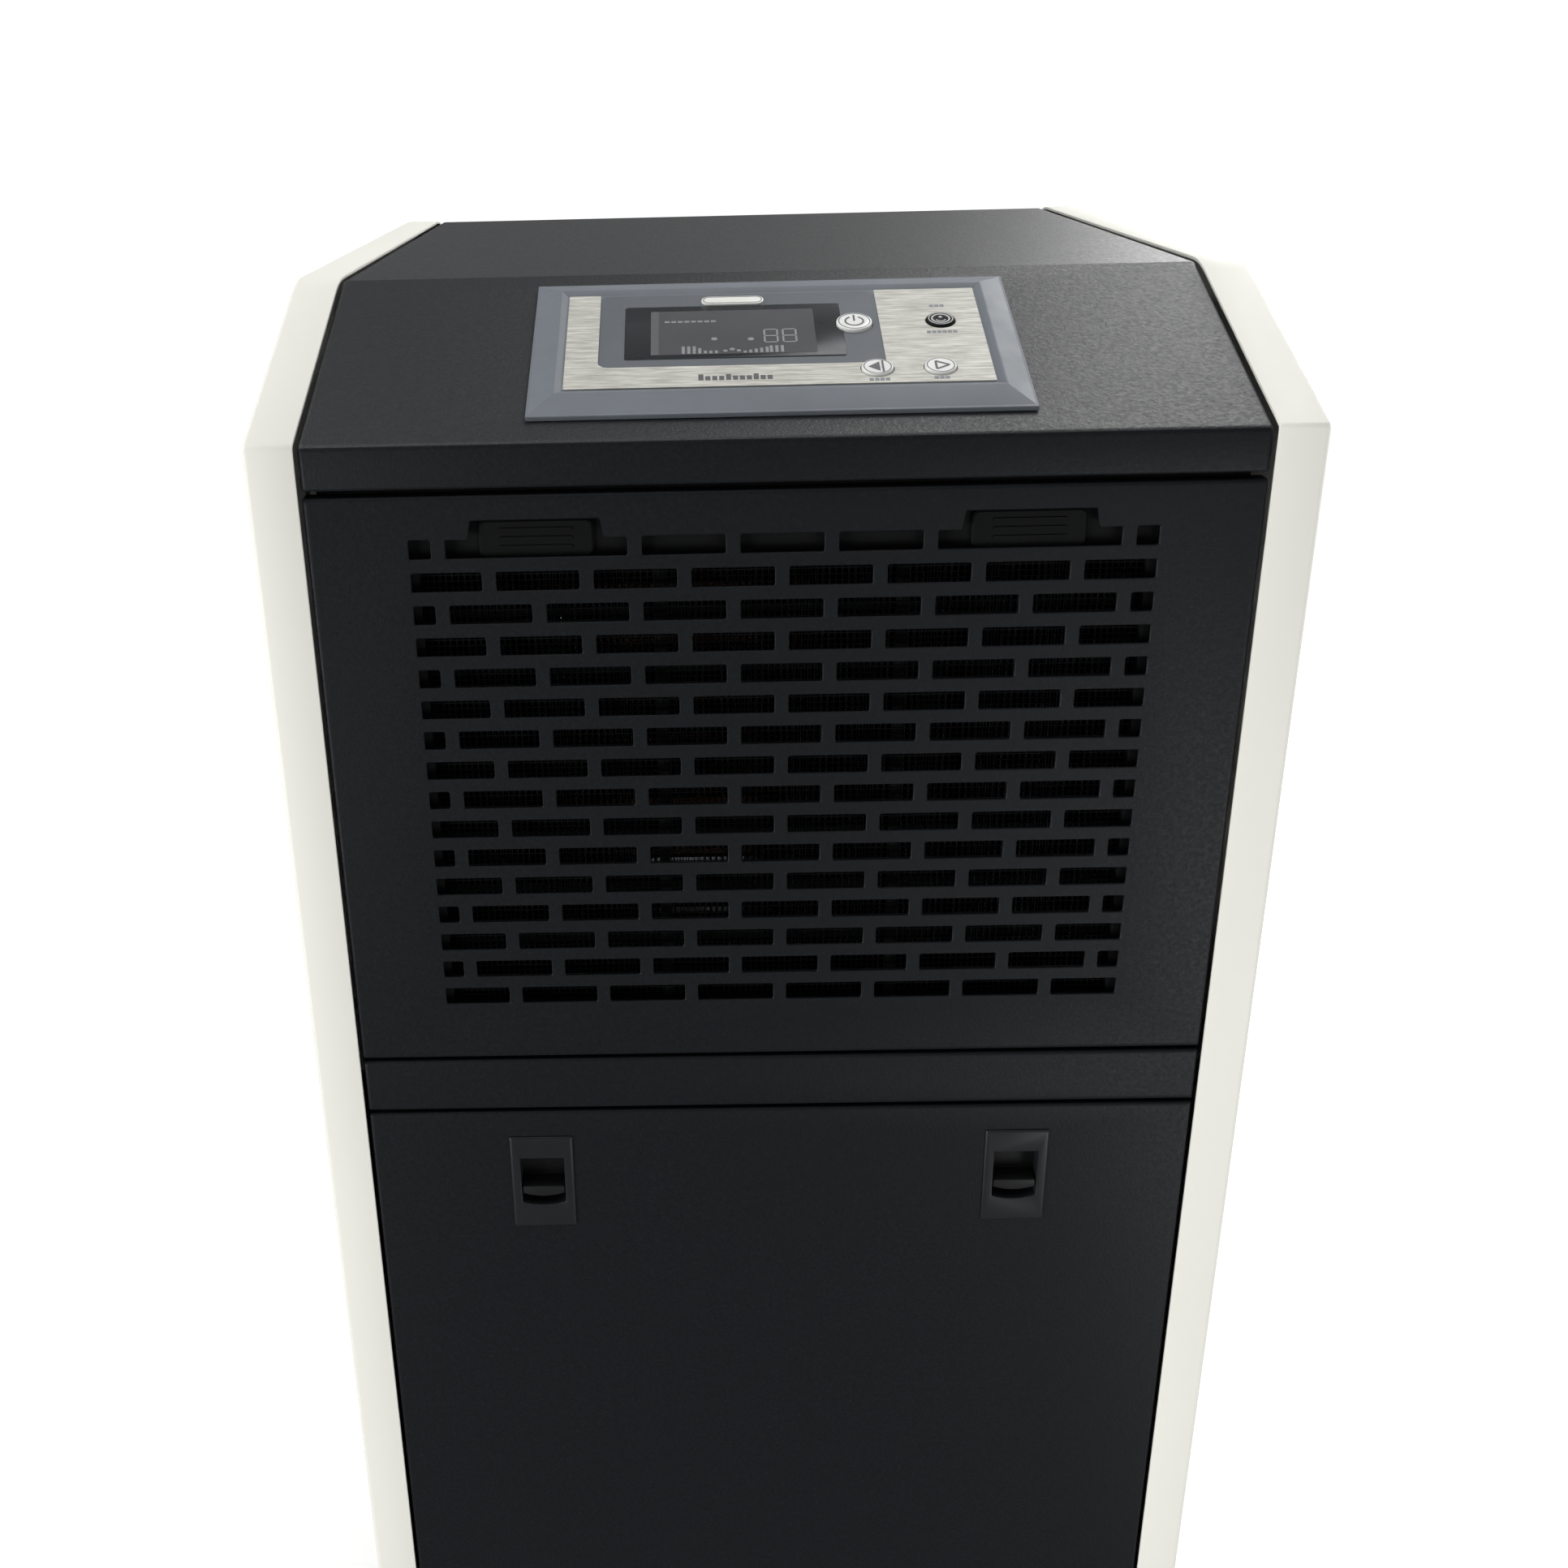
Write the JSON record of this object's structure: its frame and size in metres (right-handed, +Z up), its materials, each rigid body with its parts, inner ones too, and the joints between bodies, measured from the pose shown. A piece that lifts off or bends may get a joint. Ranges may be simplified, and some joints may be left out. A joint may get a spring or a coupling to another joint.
{
  "type": "dehumidifier",
  "caption": "Upright commercial dehumidifier on castors: black front with slotted air inlet, pale side panels, sloped control console and a latched lower door.",
  "frame": {"origin": "on the floor under the centre of the overall box", "axes": "+Z up, -Y out of the front, +X to the right of someone facing the front"},
  "size_m": [0.413, 0.626, 1.02],
  "materials": {
    "pale_sheet": "pale warm grey powder coat",
    "dark_sheet": "black fine-textured powder coat",
    "grey_plastic": "satin blue-grey",
    "brushed_overlay": "brushed silver film",
    "display_gloss": "dark gloss window",
    "lcd": "grey liquid crystal module",
    "board": "green circuit board",
    "black_plastic": "black moulded",
    "white_button": "white gloss",
    "dark_button": "dark gloss",
    "zinc_steel": "zinc plated",
    "fin_aluminium": "bare fins",
    "copper": "copper tube",
    "black_enamel": "black enamel",
    "rubber": "black rubber",
    "wheel_tread": "dark grey wheel",
    "tank_plastic": "milky plastic",
    "white_plastic": "white plastic"
  },
  "bodies": {
    "casing": {"air_filter": "black_plastic", "base_pan": "zinc_steel", "component_shelf": "zinc_steel", "compressor": "black_enamel", "compressor_foot_1": "rubber", "compressor_foot_2": "rubber", "compressor_foot_3": "rubber", "condenser_coil": "fin_aluminium", "control_bezel": "grey_plastic", "control_housing": "black_plastic", "control_overlay": "brushed_overlay", "cord_gland": "black_plastic", "discharge_pipe": "copper", "display_board": "board", "display_module": "lcd", "display_window": "display_gloss", "door_hinge_pin_left": "zinc_steel", "door_hinge_pin_right": "zinc_steel", "drain_nipple": "black_plastic", "drain_pipe": "white_plastic", "drip_tray": "black_plastic", "evaporator_coil": "fin_aluminium", "fan_motor": "zinc_steel", "fan_plate": "zinc_steel", "fan_shroud": "black_plastic", "filter_drier": "copper", "float_switch": "black_plastic", "front_cross_rail": "dark_sheet", "front_grille_panel": "dark_sheet", "main_control_board": "board", "rear_outlet_grille": "black_plastic", "rear_panel": "dark_sheet", "run_capacitor": "white_plastic", "side_grip_left": "black_plastic", "side_grip_right": "black_plastic", "side_panel_left": "pale_sheet", "side_panel_right": "pale_sheet", "suction_pipe": "copper", "top_cover": "dark_sheet", "water_tank": "tank_plastic"},
    "door": {"front_door": "dark_sheet", "latch_bezel_left": "black_plastic", "latch_bezel_right": "black_plastic"},
    "latch_slider_left": {"latch_slider_left": "black_plastic"},
    "latch_slider_right": {"latch_slider_right": "black_plastic"},
    "power_button": {"power_button": "white_button"},
    "mode_button": {"mode_button": "dark_button"},
    "down_button": {"down_button": "white_button"},
    "up_button": {"up_button": "white_button"},
    "fan": {"fan_impeller": "black_plastic"},
    "tank_handle": {"tank_handle": "white_plastic"},
    "tank_float": {"tank_float": "white_plastic"},
    "castor_fork_front_left": {"castor_fork_front_left": "zinc_steel"},
    "castor_wheel_front_left": {"castor_wheel_front_left": "wheel_tread"},
    "castor_fork_front_right": {"castor_fork_front_right": "zinc_steel"},
    "castor_wheel_front_right": {"castor_wheel_front_right": "wheel_tread"},
    "castor_fork_rear_left": {"castor_fork_rear_left": "zinc_steel"},
    "castor_wheel_rear_left": {"castor_wheel_rear_left": "wheel_tread"},
    "castor_fork_rear_right": {"castor_fork_rear_right": "zinc_steel"},
    "castor_wheel_rear_right": {"castor_wheel_rear_right": "wheel_tread"}
  },
  "joints": [
    {"name": "door_hinge", "type": "hinge", "parent": "casing", "child": "door", "pos_m": [0, -0.3068, 0.113], "axis": [1, 0, 0], "range_deg": [0, 90]},
    {"name": "latch_slide_left", "type": "slide", "parent": "door", "child": "latch_slider_left", "axis": [0, 0, -1], "range_m": [0, 0.0035], "stiffness_N_per_m": 400, "springref_m": -0.002},
    {"name": "latch_slide_right", "type": "slide", "parent": "door", "child": "latch_slider_right", "axis": [0, 0, -1], "range_m": [0, 0.0035], "stiffness_N_per_m": 400, "springref_m": -0.002},
    {"name": "power_button_press", "type": "slide", "parent": "casing", "child": "power_button", "axis": [0, 0.3432, -0.9393], "range_m": [0, 0.0008], "stiffness_N_per_m": 800, "springref_m": -0.0005},
    {"name": "mode_button_press", "type": "slide", "parent": "casing", "child": "mode_button", "axis": [0, 0.3432, -0.9393], "range_m": [0, 0.0008], "stiffness_N_per_m": 800, "springref_m": -0.0005},
    {"name": "down_button_press", "type": "slide", "parent": "casing", "child": "down_button", "axis": [0, 0.3432, -0.9393], "range_m": [0, 0.0008], "stiffness_N_per_m": 800, "springref_m": -0.0005},
    {"name": "up_button_press", "type": "slide", "parent": "casing", "child": "up_button", "axis": [0, 0.3432, -0.9393], "range_m": [0, 0.0008], "stiffness_N_per_m": 800, "springref_m": -0.0005},
    {"name": "fan_spin", "type": "hinge", "parent": "casing", "child": "fan", "pos_m": [0, -0.1865, 0.822], "axis": [0, 1, 0], "continuous": true},
    {"name": "tank_handle_swing", "type": "hinge", "parent": "casing", "child": "tank_handle", "pos_m": [0, -0.199, 0.2673], "axis": [-1, 0, 0], "range_deg": [0, 110]},
    {"name": "float_swing", "type": "hinge", "parent": "casing", "child": "tank_float", "pos_m": [0.07, -0.124, 0.2613], "axis": [-1, 0, 0], "range_deg": [0, 30]},
    {"name": "castor_swivel_front_left", "type": "hinge", "parent": "casing", "child": "castor_fork_front_left", "pos_m": [-0.16, -0.258, 0.07], "axis": [0, 0, 1], "continuous": true},
    {"name": "castor_roll_front_left", "type": "hinge", "parent": "castor_fork_front_left", "child": "castor_wheel_front_left", "pos_m": [-0.16, -0.24, 0.025], "axis": [1, 0, 0], "continuous": true},
    {"name": "castor_swivel_front_right", "type": "hinge", "parent": "casing", "child": "castor_fork_front_right", "pos_m": [0.16, -0.258, 0.07], "axis": [0, 0, 1], "continuous": true},
    {"name": "castor_roll_front_right", "type": "hinge", "parent": "castor_fork_front_right", "child": "castor_wheel_front_right", "pos_m": [0.16, -0.24, 0.025], "axis": [1, 0, 0], "continuous": true},
    {"name": "castor_swivel_rear_left", "type": "hinge", "parent": "casing", "child": "castor_fork_rear_left", "pos_m": [-0.16, 0.242, 0.07], "axis": [0, 0, 1], "continuous": true},
    {"name": "castor_roll_rear_left", "type": "hinge", "parent": "castor_fork_rear_left", "child": "castor_wheel_rear_left", "pos_m": [-0.16, 0.26, 0.025], "axis": [1, 0, 0], "continuous": true},
    {"name": "castor_swivel_rear_right", "type": "hinge", "parent": "casing", "child": "castor_fork_rear_right", "pos_m": [0.16, 0.242, 0.07], "axis": [0, 0, 1], "continuous": true},
    {"name": "castor_roll_rear_right", "type": "hinge", "parent": "castor_fork_rear_right", "child": "castor_wheel_rear_right", "pos_m": [0.16, 0.26, 0.025], "axis": [1, 0, 0], "continuous": true}
  ]
}
